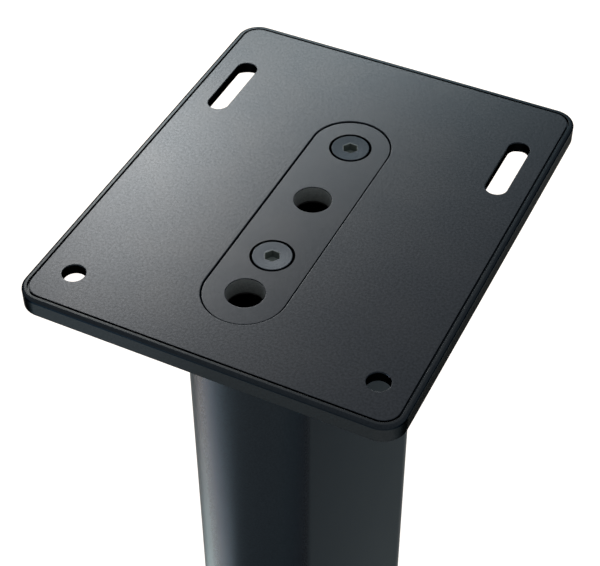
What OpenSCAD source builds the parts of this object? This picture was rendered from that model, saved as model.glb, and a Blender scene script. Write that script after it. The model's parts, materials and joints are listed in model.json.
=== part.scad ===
// Speaker stand: a flat top plate on a hollow column with sand chambers, on a weighted base with spiked feet.
// The origin is on the floor under the middle of the column, +Z is up and the front is towards -Y.

/* [Overall] */
// Height of the face that the speaker stands on, above the floor
stand_h = 610; // [450:5:900]

/* [Top plate] */
// Width of the top plate, left to right
top_w = 164; // [152:1:240]
// Depth of the top plate, front to back
top_d = 201.5; // [194:0.5:300]
// Thickness of the top plate
top_t = 8.5; // [7:0.5:14]
// Radius of its corners, seen from above
top_corner_r = 10; // [6:0.5:20]
// Rounding of its upper edge
top_edge_r = 1.8; // [0.5:0.1:2.2]
// Rounding of its lower edge
top_under_r = 0.8; // [0.4:0.1:1.5]
// Width of the rim round the inlaid sheet
rim_w = 2.3; // [2.2:0.05:4]
// Thickness of the inlaid sheet
inlay_t = 1; // [0.6:0.1:2]
// Width of the groove between the rim and the sheet
inlay_gap = 0.6; // [0.2:0.05:1]

/* [Speaker fixings] */
// Distance of the fixings' middle from the plate's sides
fixing_from_side = 16.2; // [13:0.2:24]
// Radius of the round fixing holes and half the width of the slots
fixing_r = 4.8; // [3:0.1:6]
// Distance of the round holes' middle from the plate's front
hole_from_front = 20; // [13:0.2:28]
// Distance of the slots' middle from the plate's back
slot_from_back = 47.1; // [32:0.1:55]
// Length of the slots, end to end
slot_l = 36.5; // [20:0.5:44]
// Depth of the plate that a bolt head under it leaves
fixing_web = 5; // [4:0.5:6.5]
// Radius of the recess for a bolt head
bolt_recess_r = 9; // [7:0.5:10]

/* [Head insert] */
// Width of the oblong insert
insert_w = 34.2; // [33:0.1:40]
// Thickness of its upper flange
insert_flange_t = 3.5; // [3:0.5:4.5]
// How far the flange reaches over the ledge in the plate
insert_ledge = 2.5; // [1:0.25:4]
// Gap round the insert
insert_gap = 0.45; // [0.2:0.05:0.8]
// Radius of the two fill ports
port_r = 8; // [6:0.25:8.5]
// Distance of the front fill port from the middle
front_port_y = 60.7; // [58:0.1:62]

/* [Screws] */
// Radius of the screws' thread
screw_r = 4; // [3:0.5:4]
// Length of the screws, head and all
screw_l = 30; // [25:1:40]
// Radius of the screws' heads
screw_head_r = 8.2; // [7:0.1:8.6]
// Width of the hexagon sockets across their flats
socket_w = 5; // [4:0.5:5]
// Depth of the hexagon sockets
socket_l = 3.6; // [2:0.2:5]
// Half the distance between the two screws
screw_y = 37.3; // [34:0.1:38]

/* [Column] */
// Width of the column, left to right
column_w = 53; // [50:1:60]
// Depth of the column, front to back
column_d = 165; // [160:1:170]
// Thickness of the column's wall
column_wall = 3; // [2:0.25:4]
// Thickness of the two webs inside
web_t = 3; // [2:0.25:4]
// Radius of the round bosses that hold the screws
boss_r = 8; // [7:0.25:9]
// Thickness of the gaskets at the column's two ends
gasket_t = 0.75; // [0.5:0.25:2]

/* [Cable way] */
// Radius of the hole through the cable grommets
cable_r = 6.5; // [5:0.25:8]
// Thickness of the grommets' neck round that hole
grommet_neck_t = 1.75; // [1.5:0.25:3]
// Width of the grommets' lips past the neck
grommet_lip_w = 2.5; // [1.5:0.25:4]
// Thickness of the grommets' lips
grommet_lip_t = 1.5; // [1:0.25:2.5]
// Distance of each grommet from the column's end
grommet_from_end = 42; // [30:1:80]

/* [Base] */
// Width of the base plate
base_w = 250; // [200:5:360]
// Depth of the base plate
base_d = 300; // [240:5:420]
// Thickness of the base plate
base_t = 10; // [8:0.5:16]
// Radius of the base plate's corners
base_corner_r = 14; // [8:1:30]
// Rounding of the base plate's upper and lower edges
base_edge_r = 2; // [0.5:0.25:3]
// Height of the base plate's underside above the floor
base_lift = 26; // [24:1:40]
// Distance of the feet from the base plate's edges
foot_inset = 24; // [18:1:40]

/* [Feet] */
// Radius of the spikes' thread
spike_r = 4; // [3:0.5:5]
// How far the spikes stand above the base plate
spike_above = 3; // [1:0.5:6]
// Length of the spikes' point
spike_point_l = 9; // [6:0.5:12]
// Width of the spikes' hexagon sockets across their flats
spike_socket_w = 4; // [2.5:0.5:4]
// Outer radius of the threaded bushes
bush_r = 6.5; // [6.2:0.1:9]
// Radius of the bushes' collars
bush_collar_r = 9; // [8.5:0.25:12]
// Thickness of the bushes' collars
bush_collar_t = 1.5; // [1:0.25:2.5]
// Width of the lock nuts across their flats
nut_w = 13; // [12:0.5:17]
// Thickness of the lock nuts
nut_t = 4; // [3:0.5:6]
// Radius of the floor shoes
shoe_r = 12.5; // [10:0.5:18]
// Height of the floor shoes without their pads
shoe_h = 6; // [5:0.5:9]
// Radius of the dimple in the shoes' top
dimple_r = 4.5; // [3.5:0.25:7]
// Thickness of the pads under the shoes
pad_t = 1.5; // [1:0.25:3]

/* [Hidden] */
$fn = 96;
// How far a cut runs past the face that it cuts
cut = 1;
// Clearance round a thread and in a turning fit
thread_gap = 0.05;
// Clearance between a pressed bush and its hole
press_gap = 0.02;
// Gap between faces that turn or slide on each other
face_gap = 0.1;
// Gap round a screw's shank where it passes through without threads
shank_gap = 0.5;
// Gap of a screw's head in its countersink, the dark ring seen round it
head_gap = 0.24;
// How much the insert's underside stays above the gasket, so that its flange clamps
clamp_gap = 0.2;
// Height of the short straight land above a countersunk head's cone
head_land = 0.5;
// Small chamfer on nuts, shoes and thread ends
chamfer = 0.6;
// Share of a shoe's height that its dimple takes
dimple_share = 0.5;
// Share of a shoe's radius that its pad takes
pad_share = 0.92;
// Radius of a spike's blunt tip
tip_r = 0.6;
// Gap between a spike's point and the dimple that it stands in
tip_gap = 0.15;
// Angle of a corner of the column screws' hexagon sockets from +X, as they stand when tightened
socket_turn = 56;
// Depth of the spikes' hexagon sockets
spike_socket_l = 4;
// Gap round a grommet's neck and lips
grommet_gap = 0.1;
// Widening of the gaskets' holes past the ports, so that they stay out of sight
gasket_hole_gap = 0.25;
// Inset of the gaskets from the column's outline
gasket_inset = 0.5;

top_z = stand_h - top_t;
base_z = base_lift;
column_z0 = base_z + base_t + gasket_t;
column_z1 = top_z - gasket_t;
column_h = column_z1 - column_z0;
column_nose_r = column_w / 2;
column_nose_y = column_d / 2 - column_nose_r;
insert_r = insert_w / 2;
fixing_x = top_w / 2 - fixing_from_side;
hole_y = top_d / 2 - hole_from_front;
slot_y = top_d / 2 - slot_from_back;
foot_x = base_w / 2 - foot_inset;
foot_y = base_d / 2 - foot_inset;
nut_z = base_z - bush_collar_t - face_gap - nut_t;
shoe_top = pad_t + shoe_h;
dimple_h = shoe_h * dimple_share;
tip_z = shoe_top - dimple_h + tip_gap;
spike_top = base_z + base_t + spike_above;

// Flat outline of a rectangle with round corners
module rounded_rect(w, d, r) {
    square([w - 2 * r, d], center = true);
    square([w, d - 2 * r], center = true);
    for (x = [-1, 1], y = [-1, 1])
        translate([x * (w / 2 - r), y * (d / 2 - r)])
            circle(r);
}

// Flat outline with round ends that runs along Y, from one end's centre to the other's
module oblong(r, y0, y1) {
    translate([-r, y0])
        square([2 * r, y1 - y0]);
    for (y = [y0, y1])
        translate([0, y])
            circle(r);
}

// Section of a slab's edge, from zero out to its reach, rounded above and below
module edge_section(reach, h, upper_r, lower_r) {
    translate([0, lower_r])
        square([reach, h - lower_r - upper_r]);
    square([reach - lower_r, lower_r]);
    translate([0, h - upper_r])
        square([reach - upper_r, upper_r]);
    translate([reach - lower_r, lower_r])
        intersection() {
            circle(lower_r);
            translate([0, -lower_r])
                square(lower_r);
        }
    translate([reach - upper_r, h - upper_r])
        intersection() {
            circle(upper_r);
            square(upper_r);
        }
}

// Slab with round corners, and with its upper and lower edges rounded as well
module soft_slab(w, d, h, r, upper_r, lower_r) {
    corners = [[1, 1], [-1, 1], [-1, -1], [1, -1]];
    linear_extrude(h)
        square([w - 2 * r, d - 2 * r], center = true);
    for (turn = [0, 180])
        rotate([0, 0, turn]) {
            translate([r - w / 2, d / 2 - r, 0])
                rotate([90, 0, 90])
                    linear_extrude(w - 2 * r)
                        edge_section(r, h, upper_r, lower_r);
            translate([w / 2 - r, d / 2 - r, 0])
                rotate([90, 0, 0])
                    linear_extrude(d - 2 * r)
                        edge_section(r, h, upper_r, lower_r);
        }
    for (i = [0:3])
        translate([corners[i].x * (w / 2 - r), corners[i].y * (d / 2 - r), 0])
            rotate([0, 0, 90 * i])
                rotate_extrude(angle = 90)
                    edge_section(r, h, upper_r, lower_r);
}

// The speaker fixings' two holes and two slots, grown by a given amount
module fixing_outline(r) {
    for (s = [-1, 1]) {
        translate([s * fixing_x, -hole_y])
            circle(r);
        translate([s * fixing_x, 0])
            oblong(r, slot_y - slot_l / 2 + fixing_r, slot_y + slot_l / 2 - fixing_r);
    }
}

// The column's outline, drawn in by a given amount
module column_outline(inset) {
    oblong(column_nose_r - inset, -column_nose_y, column_nose_y);
}

// The two fill ports
module port_outline(r) {
    for (y = [0, -front_port_y])
        translate([0, y])
            circle(r);
}

// The two screw holes that the plates, gaskets and column share
module screw_outline(r) {
    for (y = [-screw_y, screw_y])
        translate([0, y])
            circle(r);
}

// Countersunk screw with a hexagon socket, its head's face at the origin and its shank hanging down
module countersunk_screw() {
    cone_l = screw_head_r - screw_r;
    color("dimgray")
        difference() {
            union() {
                translate([0, 0, -head_land])
                    cylinder(h = head_land, r = screw_head_r);
                translate([0, 0, -head_land - cone_l])
                    cylinder(h = cone_l, r1 = screw_r, r2 = screw_head_r);
                translate([0, 0, -screw_l + chamfer])
                    cylinder(h = screw_l - head_land - chamfer, r = screw_r);
                translate([0, 0, -screw_l])
                    cylinder(h = chamfer, r1 = screw_r - chamfer, r2 = screw_r);
            }
            translate([0, 0, -socket_l])
                rotate([0, 0, socket_turn])
                    cylinder(h = socket_l + cut, r = socket_w / sqrt(3), $fn = 6);
        }
}

// The hole that a countersunk screw sits in, cut down from the origin
module countersink() {
    sink_r = screw_head_r + head_gap;
    hole_r = screw_r + shank_gap;
    translate([0, 0, -head_land])
        cylinder(h = head_land + cut, r = sink_r);
    translate([0, 0, -head_land - sink_r + hole_r])
        cylinder(h = sink_r - hole_r, r1 = hole_r, r2 = sink_r);
}

// Top plate with its rim, the recess for the sheet, the ledged oblong opening and the fixings
module top_plate() {
    body_y0 = -front_port_y;
    color("darkslategray")
        translate([0, 0, top_z])
            difference() {
                soft_slab(top_w, top_d, top_t, top_corner_r, top_edge_r, top_under_r);
                translate([0, 0, top_t - inlay_t])
                    linear_extrude(inlay_t + cut)
                        rounded_rect(top_w - 2 * rim_w, top_d - 2 * rim_w, top_corner_r - rim_w);
                translate([0, 0, top_t - insert_flange_t])
                    linear_extrude(insert_flange_t + cut)
                        oblong(insert_r + insert_gap, body_y0, screw_y);
                translate([0, 0, -cut])
                    linear_extrude(top_t + 2 * cut)
                        oblong(insert_r - insert_ledge, body_y0, screw_y);
                translate([0, 0, -cut])
                    linear_extrude(top_t + 2 * cut)
                        fixing_outline(fixing_r);
                translate([0, 0, -cut])
                    linear_extrude(top_t - fixing_web + cut)
                        fixing_outline(bolt_recess_r);
            }
}

// Textured sheet laid into the top plate
module top_inlay() {
    inset = rim_w + inlay_gap;
    color("slategray")
        translate([0, 0, stand_h - inlay_t])
            linear_extrude(inlay_t)
                difference() {
                    rounded_rect(top_w - 2 * inset, top_d - 2 * inset, top_corner_r - inset);
                    oblong(insert_r + insert_gap, -front_port_y, screw_y);
                    fixing_outline(fixing_r);
                }
}

// Oblong insert that clamps the top plate down, with the fill ports and the screws' countersinks
module head_insert() {
    body_r = insert_r - insert_ledge - insert_gap;
    color("slategray")
        translate([0, 0, stand_h])
            difference() {
                union() {
                    translate([0, 0, -insert_flange_t])
                        linear_extrude(insert_flange_t)
                            oblong(insert_r, -front_port_y, screw_y);
                    translate([0, 0, -top_t + clamp_gap])
                        linear_extrude(top_t - clamp_gap)
                            oblong(body_r, -front_port_y, screw_y);
                }
                translate([0, 0, -top_t])
                    linear_extrude(top_t + cut) {
                        port_outline(port_r);
                        screw_outline(screw_r + shank_gap);
                    }
                for (y = [-screw_y, screw_y])
                    translate([0, y, 0])
                        countersink();
            }
}

module insert_screw_back() {
    translate([0, screw_y, stand_h])
        countersunk_screw();
}

module insert_screw_front() {
    translate([0, -screw_y, stand_h])
        countersunk_screw();
}

// Thin gasket on the column's upper end
module head_gasket() {
    color("black")
        translate([0, 0, column_z1])
            linear_extrude(gasket_t)
                difference() {
                    column_outline(gasket_inset);
                    port_outline(port_r + gasket_hole_gap);
                    screw_outline(screw_r + shank_gap);
                }
}

// Extruded column: a wall with round noses, two webs with screw bosses, and two cable holes at the back
module column() {
    inner_r = column_nose_r - column_wall;
    color("darkslategray")
        difference() {
            translate([0, 0, column_z0])
                linear_extrude(column_h)
                    difference() {
                        union() {
                            difference() {
                                column_outline(0);
                                column_outline(column_wall);
                            }
                            for (y = [-screw_y, screw_y]) {
                                translate([-inner_r - column_wall / 2, y - web_t / 2])
                                    square([2 * inner_r + column_wall, web_t]);
                                translate([0, y])
                                    circle(boss_r);
                            }
                        }
                        screw_outline(screw_r + thread_gap);
                    }
            for (z = [column_z0 + grommet_from_end, column_z1 - grommet_from_end])
                translate([0, column_nose_y, z])
                    rotate([-90, 0, 0])
                        cylinder(h = column_nose_r + cut, r = cable_r + grommet_neck_t + grommet_gap);
        }
}

// Upright tube round the column's back nose, used to curve the grommets to the wall
module nose_shell(r0, r1, h) {
    difference() {
        cylinder(h = h, r = r1, center = true);
        cylinder(h = h + 2 * cut, r = r0, center = true);
    }
}

// Rubber grommet at a given height, curved to the column's wall and clipped over its edge
module grommet(z) {
    wall_r = column_nose_r - column_wall;
    neck_r = cable_r + grommet_neck_t;
    lip_r = neck_r + grommet_lip_w;
    shell_h = 2 * lip_r + 2 * cut;
    color("black")
        translate([0, column_nose_y, z])
            difference() {
                intersection() {
                    rotate([-90, 0, 0])
                        cylinder(h = column_d, r = lip_r);
                    nose_shell(wall_r - grommet_lip_t - grommet_gap, column_nose_r + grommet_lip_t + grommet_gap, shell_h);
                }
                difference() {
                    nose_shell(wall_r - grommet_gap, column_nose_r + grommet_gap, shell_h);
                    rotate([-90, 0, 0])
                        cylinder(h = column_d, r = neck_r);
                }
                rotate([-90, 0, 0])
                    cylinder(h = column_d, r = cable_r);
            }
}

module upper_grommet() {
    grommet(column_z1 - grommet_from_end);
}

module lower_grommet() {
    grommet(column_z0 + grommet_from_end);
}

// Thin gasket under the column
module base_gasket() {
    color("black")
        translate([0, 0, base_z + base_t])
            linear_extrude(gasket_t)
                difference() {
                    column_outline(gasket_inset);
                    screw_outline(screw_r + shank_gap);
                }
}

// Heavy base plate with the column's screws sunk into its underside and holes for the bushes
module base_plate() {
    color("darkslategray")
        translate([0, 0, base_z])
            difference() {
                soft_slab(base_w, base_d, base_t, base_corner_r, base_edge_r, base_edge_r);
                translate([0, 0, -cut])
                    linear_extrude(base_t + 2 * cut) {
                        screw_outline(screw_r + shank_gap);
                        for (x = [-foot_x, foot_x], y = [-foot_y, foot_y])
                            translate([x, y])
                                circle(bush_r + press_gap);
                    }
                for (y = [-screw_y, screw_y])
                    translate([0, y, 0])
                        mirror([0, 0, 1])
                            countersink();
            }
}

module base_screw_back() {
    translate([0, screw_y, base_z])
        mirror([0, 0, 1])
            countersunk_screw();
}

module base_screw_front() {
    translate([0, -screw_y, base_z])
        mirror([0, 0, 1])
            countersunk_screw();
}

// Places a foot's piece: side is -1 on the left and 1 on the right, end is -1 at the front and 1 at the back
module at_foot(side, end) {
    translate([side * foot_x, end * foot_y, 0])
        children();
}

// Threaded bush pressed up into the base plate, its collar against the underside
module bush(side, end) {
    color("gray")
        at_foot(side, end)
            difference() {
                union() {
                    translate([0, 0, base_z - bush_collar_t])
                        cylinder(h = bush_collar_t, r = bush_collar_r);
                    translate([0, 0, base_z - bush_collar_t])
                        cylinder(h = base_t + bush_collar_t, r = bush_r);
                }
                translate([0, 0, base_z - bush_collar_t - cut])
                    cylinder(h = base_t + bush_collar_t + 2 * cut, r = spike_r + thread_gap);
            }
}

// Spike: a threaded rod with a hexagon socket at the top and a blunt point at the bottom
module spike(side, end) {
    color("silver")
        at_foot(side, end)
            difference() {
                union() {
                    translate([0, 0, tip_z])
                        cylinder(h = spike_point_l, r1 = tip_r, r2 = spike_r);
                    translate([0, 0, tip_z + spike_point_l])
                        cylinder(h = spike_top - chamfer - tip_z - spike_point_l, r = spike_r);
                    translate([0, 0, spike_top - chamfer])
                        cylinder(h = chamfer, r1 = spike_r, r2 = spike_r - chamfer);
                }
                translate([0, 0, spike_top - spike_socket_l])
                    cylinder(h = spike_socket_l + cut, r = spike_socket_w / sqrt(3), $fn = 6);
            }
}

// Thin lock nut that holds the spike's setting against the bush's collar
module lock_nut(side, end) {
    corner_r = nut_w / sqrt(3);
    color("silver")
        at_foot(side, end)
            translate([0, 0, nut_z])
                difference() {
                    intersection() {
                        cylinder(h = nut_t, r = corner_r, $fn = 6);
                        union() {
                            cylinder(h = chamfer, r1 = corner_r - chamfer, r2 = corner_r);
                            translate([0, 0, chamfer])
                                cylinder(h = nut_t - 2 * chamfer, r = corner_r);
                            translate([0, 0, nut_t - chamfer])
                                cylinder(h = chamfer, r1 = corner_r, r2 = corner_r - chamfer);
                        }
                    }
                    translate([0, 0, -cut])
                        cylinder(h = nut_t + 2 * cut, r = spike_r + thread_gap);
                }
}

// Floor shoe: a turned disc with a dimple for the spike's point
module shoe(side, end) {
    floor_r = tip_r + tip_gap;
    slope = (dimple_r - floor_r) / dimple_h;
    color("silver")
        at_foot(side, end)
            translate([0, 0, pad_t])
                difference() {
                    union() {
                        cylinder(h = chamfer, r1 = shoe_r - chamfer, r2 = shoe_r);
                        translate([0, 0, chamfer])
                            cylinder(h = shoe_h - 2 * chamfer, r = shoe_r);
                        translate([0, 0, shoe_h - chamfer])
                            cylinder(h = chamfer, r1 = shoe_r, r2 = shoe_r - chamfer);
                    }
                    translate([0, 0, shoe_h - dimple_h])
                        cylinder(h = dimple_h + cut, r1 = floor_r, r2 = dimple_r + cut * slope);
                }
}

// Thin pad under a shoe
module shoe_pad(side, end) {
    color("black")
        at_foot(side, end)
            cylinder(h = pad_t, r = shoe_r * pad_share);
}

top_plate();
top_inlay();
head_insert();
insert_screw_back();
insert_screw_front();
head_gasket();
column();
upper_grommet();
lower_grommet();
base_gasket();
base_plate();
base_screw_back();
base_screw_front();
bush(-1, -1);  // bush_fl
bush(1, -1);  // bush_fr
bush(-1, 1);  // bush_bl
bush(1, 1);  // bush_br
spike(-1, -1);  // spike_fl
spike(1, -1);  // spike_fr
spike(-1, 1);  // spike_bl
spike(1, 1);  // spike_br
lock_nut(-1, -1);  // lock_nut_fl
lock_nut(1, -1);  // lock_nut_fr
lock_nut(-1, 1);  // lock_nut_bl
lock_nut(1, 1);  // lock_nut_br
shoe(-1, -1);  // shoe_fl
shoe(1, -1);  // shoe_fr
shoe(-1, 1);  // shoe_bl
shoe(1, 1);  // shoe_br
shoe_pad(-1, -1);  // shoe_pad_fl
shoe_pad(1, -1);  // shoe_pad_fr
shoe_pad(-1, 1);  // shoe_pad_bl
shoe_pad(1, 1);  // shoe_pad_br
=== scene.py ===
"""The looks of a speaker stand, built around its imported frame.

Lengths are in metres, +Z is up and the stand's front is towards -Y, as in the frame. Each sub-assembly is a
class that builds its own pieces, and each finish is a small class that makes its own material.
"""

import functools
import json
import logging
import math
from dataclasses import dataclass
from enum import Enum

import bmesh
import bpy
import numpy as np
from mathutils import Matrix, Quaternion, Vector
from mathutils.geometry import delaunay_2d_cdt


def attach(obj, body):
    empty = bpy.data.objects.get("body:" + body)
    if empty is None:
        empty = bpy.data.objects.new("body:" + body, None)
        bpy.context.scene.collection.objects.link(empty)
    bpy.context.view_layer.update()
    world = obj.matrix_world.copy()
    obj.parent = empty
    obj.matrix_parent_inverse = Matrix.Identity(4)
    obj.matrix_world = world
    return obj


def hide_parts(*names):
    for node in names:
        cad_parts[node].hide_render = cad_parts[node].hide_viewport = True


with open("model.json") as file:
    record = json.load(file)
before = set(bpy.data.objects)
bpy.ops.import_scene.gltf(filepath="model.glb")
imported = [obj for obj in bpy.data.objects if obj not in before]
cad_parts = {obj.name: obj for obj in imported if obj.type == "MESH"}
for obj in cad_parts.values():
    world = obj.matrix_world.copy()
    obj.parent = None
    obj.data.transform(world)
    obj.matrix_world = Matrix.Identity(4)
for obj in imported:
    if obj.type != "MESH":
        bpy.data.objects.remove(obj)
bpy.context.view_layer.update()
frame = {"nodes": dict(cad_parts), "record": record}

MM = 0.001
WELD = 1e-6
SHARP_ANGLE = math.radians(32)
ROUND_STEPS = 96
THREAD_PITCH = 1.25 * MM
THREAD_DEPTH = 0.7 * MM
THREAD_R = 4 * MM
SOCKET_MOUTH = 0.2 * MM
SCREW_LAND = 0.5 * MM
SHANK_R = 4.5 * MM
SCREW_AXIS = (0.0, 37.3 * MM, 0.0)
FOOT_AXIS = (101 * MM, 126 * MM, 0.0)
HEAD_TOP = (0.0, 0.0, 0.61)
SHEET_BLACK = (0.0131, 0.0164, 0.0216)
DARK_EDGE = (0.315, 0.36, 0.375)
RIM_EDGE = (0.28, 0.3, 0.31)
# Painted shading: the grazing tint of the plate's side walls, tuned apart from the rest of the plate's coat
# to how light falls on them.
SIDE_WALL_SHADING_EDGE = (0.215, 0.225, 0.225)
# Painted shade: a near-black colour and grazing tint for the walls of holes, recesses and countersinks,
# standing in for the shade inside them.
HOLE_SHADE_BLACK = (0.0018, 0.0022, 0.0025)
HOLE_SHADE_EDGE = (0.03, 0.03, 0.03)
GREY_EDGE = (0.7, 0.7, 0.7)
DUST = (0.45, 0.44, 0.42)
WHITE = (1.0, 1.0, 1.0)
WARM = (1.0, 0.818, 0.65)
LOW_WARM = (1.0, 0.92, 0.77)

Colour = tuple[float, float, float]
Point = tuple[float, float, float]
Corner = tuple[float, float, float]
Socket = bpy.types.NodeSocket
log = logging.getLogger("speaker_stand")


class End(Enum):
    """Which end of the stand a piece stands at, with its sign along Y."""

    FRONT = -1
    BACK = 1


class Side(Enum):
    """Which side of the stand a piece stands on, with its sign along X."""

    LEFT = -1
    RIGHT = 1


@dataclass(frozen=True)
class Outline:
    """A closed flat outline, anticlockwise, with the outward normal at each point."""

    points: np.ndarray
    normals: np.ndarray

    def offset(self, distance: float) -> np.ndarray:
        """Every point moved along its normal: point + distance * normal."""
        return self.points + distance * self.normals


def cross(a: np.ndarray, b: np.ndarray) -> np.ndarray:
    """The flat cross product a_x * b_y - a_y * b_x, row by row."""
    return a[..., 0] * b[..., 1] - a[..., 1] * b[..., 0]


def on_circle(angles: np.ndarray) -> np.ndarray:
    """Unit vectors (cos a, sin a) for angles in radians."""
    return np.stack([np.cos(angles), np.sin(angles)], axis=-1)


def round_polygon(corners: list[tuple[float, float]], radius: float, steps: int) -> Outline:
    """A convex polygon, anticlockwise, with an arc in each corner.

    The arc's centre is corner - radius * (n0 + n1) / (1 + n0 . n1), with n0 and n1 the outward normals of
    the two sides. Its normals turn evenly from n0 to n1, and its points are centre + radius * normal.

    Args:
        corners: the corners before rounding.
        radius: the radius of every corner.
        steps: the number of steps in each arc.

    Returns:
        The rounded outline, with the doubled points of touching arcs left out.
    """
    corner = np.array(corners, float)
    side = np.roll(corner, -1, axis=0) - corner
    side /= np.linalg.norm(side, axis=1, keepdims=True)
    after = np.stack([side[:, 1], -side[:, 0]], axis=1)
    before = np.roll(after, 1, axis=0)
    between = np.sum(before * after, axis=1)
    turn = np.arctan2(cross(before, after), between)
    start = np.arctan2(before[:, 1], before[:, 0])
    normals = on_circle(start[:, None] + turn[:, None] * np.linspace(0, 1, steps + 1))
    centre = corner - radius * (before + after) / (1 + between)[:, None]
    points = (centre[:, None] + radius * normals).reshape(-1, 2)
    apart = np.linalg.norm(points - np.roll(points, 1, axis=0), axis=1) > WELD
    return Outline(points[apart], normals.reshape(-1, 2)[apart])


def rectangle(width: float, depth: float, radius: float, steps: int = 12) -> Outline:
    """A rectangle about the origin with round corners."""
    x, y = width / 2, depth / 2
    return round_polygon([(-x, -y), (x, -y), (x, y), (-x, y)], radius, steps)


def oblong(radius: float, y0: float, y1: float, x: float = 0.0) -> Outline:
    """An outline with round ends that runs along Y, from one end's centre to the other's."""
    low, high = y0 - radius, y1 + radius
    corners = [(x - radius, low), (x + radius, low), (x + radius, high), (x - radius, high)]
    return round_polygon(corners, radius, ROUND_STEPS // 4)


def circle(x: float, y: float, radius: float) -> Outline:
    """A circle about a point."""
    return oblong(radius, y, y, x)


def hexagon(width: float, x: float, y: float, turn: float, radius: float = 0.12 * MM) -> Outline:
    """A hexagon about a point, with softened corners.

    Args:
        width: its width across the flats.
        x: the centre's x.
        y: the centre's y.
        turn: the angle of one corner from +X, in radians.
        radius: the radius of the corners.

    Returns:
        The outline.
    """
    corner = on_circle(turn + np.arange(6) * math.pi / 3) * width / math.sqrt(3)
    return round_polygon([(x + p[0], y + p[1]) for p in corner], radius, 3)


def spindle(x: float, y: float, steps: int = ROUND_STEPS) -> Outline:
    """The axis of a turned piece: an outline with no size, so that a section's offset is its radius."""
    normals = on_circle(np.arange(steps) * math.tau / steps)
    return Outline(np.zeros_like(normals) + (x, y), normals)


def arc(x: float, y: float, radius: float, start: float, end: float, steps: int) -> np.ndarray:
    """Points (x, y) + radius * (cos a, sin a), with a going evenly from start to end, in radians."""
    return np.array([x, y]) + radius * on_circle(np.linspace(start, end, steps + 1))


def turned_corner(before: Corner, corner: Corner, after: Corner, steps: int) -> np.ndarray:
    """The arc that rounds one corner of a section.

    With h half the angle between the two sides, the arc's centre lies radius / sin h along the bisector, and
    the arc touches the sides radius / tan h away from the corner.

    Args:
        before: the corner before, as (offset, height, radius).
        corner: the corner itself.
        after: the corner after it.
        steps: the number of steps in the arc.

    Returns:
        The arc's points, or the corner alone where its radius is zero.
    """
    here, radius = np.array(corner[:2]), corner[2]
    if radius == 0:
        return here[None]
    back = np.array(before[:2]) - here
    ahead = np.array(after[:2]) - here
    back /= np.linalg.norm(back)
    ahead /= np.linalg.norm(ahead)
    half = math.acos(float(np.clip(back @ ahead, -1, 1))) / 2
    bisector = (back + ahead) / np.linalg.norm(back + ahead)
    centre = here + bisector * radius / math.sin(half)
    start = here + back * radius / math.tan(half) - centre
    end = here + ahead * radius / math.tan(half) - centre
    turn = math.atan2(float(cross(start, end)), float(start @ end))
    angles = math.atan2(start[1], start[0]) + turn * np.linspace(0, 1, steps + 1)
    return centre + radius * on_circle(angles)


def section(*corners: Corner, steps: int = 6) -> np.ndarray:
    """A section path through corners given as (offset, height, radius), each rounded by its radius."""
    inner = zip(corners, corners[1:], corners[2:])
    arcs = [turned_corner(before, corner, after, steps) for before, corner, after in inner]
    return np.concatenate([[corners[0][:2]], *arcs, [corners[-1][:2]]])


def countersink(sink_r: float, face: float, far: float) -> np.ndarray:
    """The section of a screw's hole: a short straight wall, a cone of 45 degrees and the shank's bore.

    Args:
        sink_r: the radius of the countersink.
        face: the height of the face that it starts from.
        far: the height of the face where the bore ends, above or below.

    Returns:
        The section, from the face's broken edge to the end of the bore.
    """
    way = math.copysign(1, far - face)
    land = face + way * SCREW_LAND
    return section(
        (sink_r + 0.25 * MM, face, 0),
        (sink_r, face, 0.12 * MM),
        (sink_r, land, 0),
        (SHANK_R, land + way * (sink_r - SHANK_R), 0),
        (SHANK_R, far, 0),
    )


def inside(points: np.ndarray, loop: np.ndarray) -> np.ndarray:
    """Which points lie in a loop: a ray from them towards +X crosses its sides an odd number of times."""
    a, b = loop, np.roll(loop, -1, axis=0)
    x, y = points[:, :1], points[:, 1:]
    spans = (a[:, 1] > y) != (b[:, 1] > y)
    rise = np.where(a[:, 1] == b[:, 1], 1.0, b[:, 1] - a[:, 1])
    crossing = a[:, 0] + (y - a[:, 1]) / rise * (b[:, 0] - a[:, 0])
    return np.count_nonzero(spans & (crossing > x), axis=1) % 2 == 1


def triangulate(points: np.ndarray, loops: list[np.ndarray]) -> np.ndarray:
    """Fills the first loop and leaves the others open, with triangles on the given points alone.

    Args:
        points: flat points, some of which may lie in the face and on no loop.
        loops: the numbers of each loop's points, in order, with the outer loop first.

    Returns:
        Triangles as rows of three point numbers.
    """
    edges = np.concatenate([np.stack([loop, np.roll(loop, -1)], axis=1) for loop in loops])
    shift = points.mean(axis=0)
    vectors = [Vector(p) for p in ((points - shift) / MM).tolist()]
    result = delaunay_2d_cdt(vectors, edges.tolist(), [], 0, WELD)
    first = np.array([origin[0] for origin in result[3]])
    triangles = first[np.array(result[2])]
    middle = points[triangles].mean(axis=1)
    filled = inside(middle, points[loops[0]])
    for hole in loops[1:]:
        filled &= ~inside(middle, points[hole])
    return triangles[filled]


@dataclass(frozen=True)
class NoseHole:
    """A round hole bored along Y through the column's back nose."""

    height: float
    radius: float
    nose_y: float

    def rim(self, nose_radius: float) -> np.ndarray:
        """The hole's rim on the nose: x = r cos a, z = height + r sin a, y = nose_y + sqrt(R * R - x * x)."""
        x, z = (self.radius * on_circle(np.arange(ROUND_STEPS // 2) * math.tau / (ROUND_STEPS // 2))).T
        return np.stack([x, self.nose_y + np.sqrt(nose_radius**2 - x**2), self.height + z], axis=1)


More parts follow.
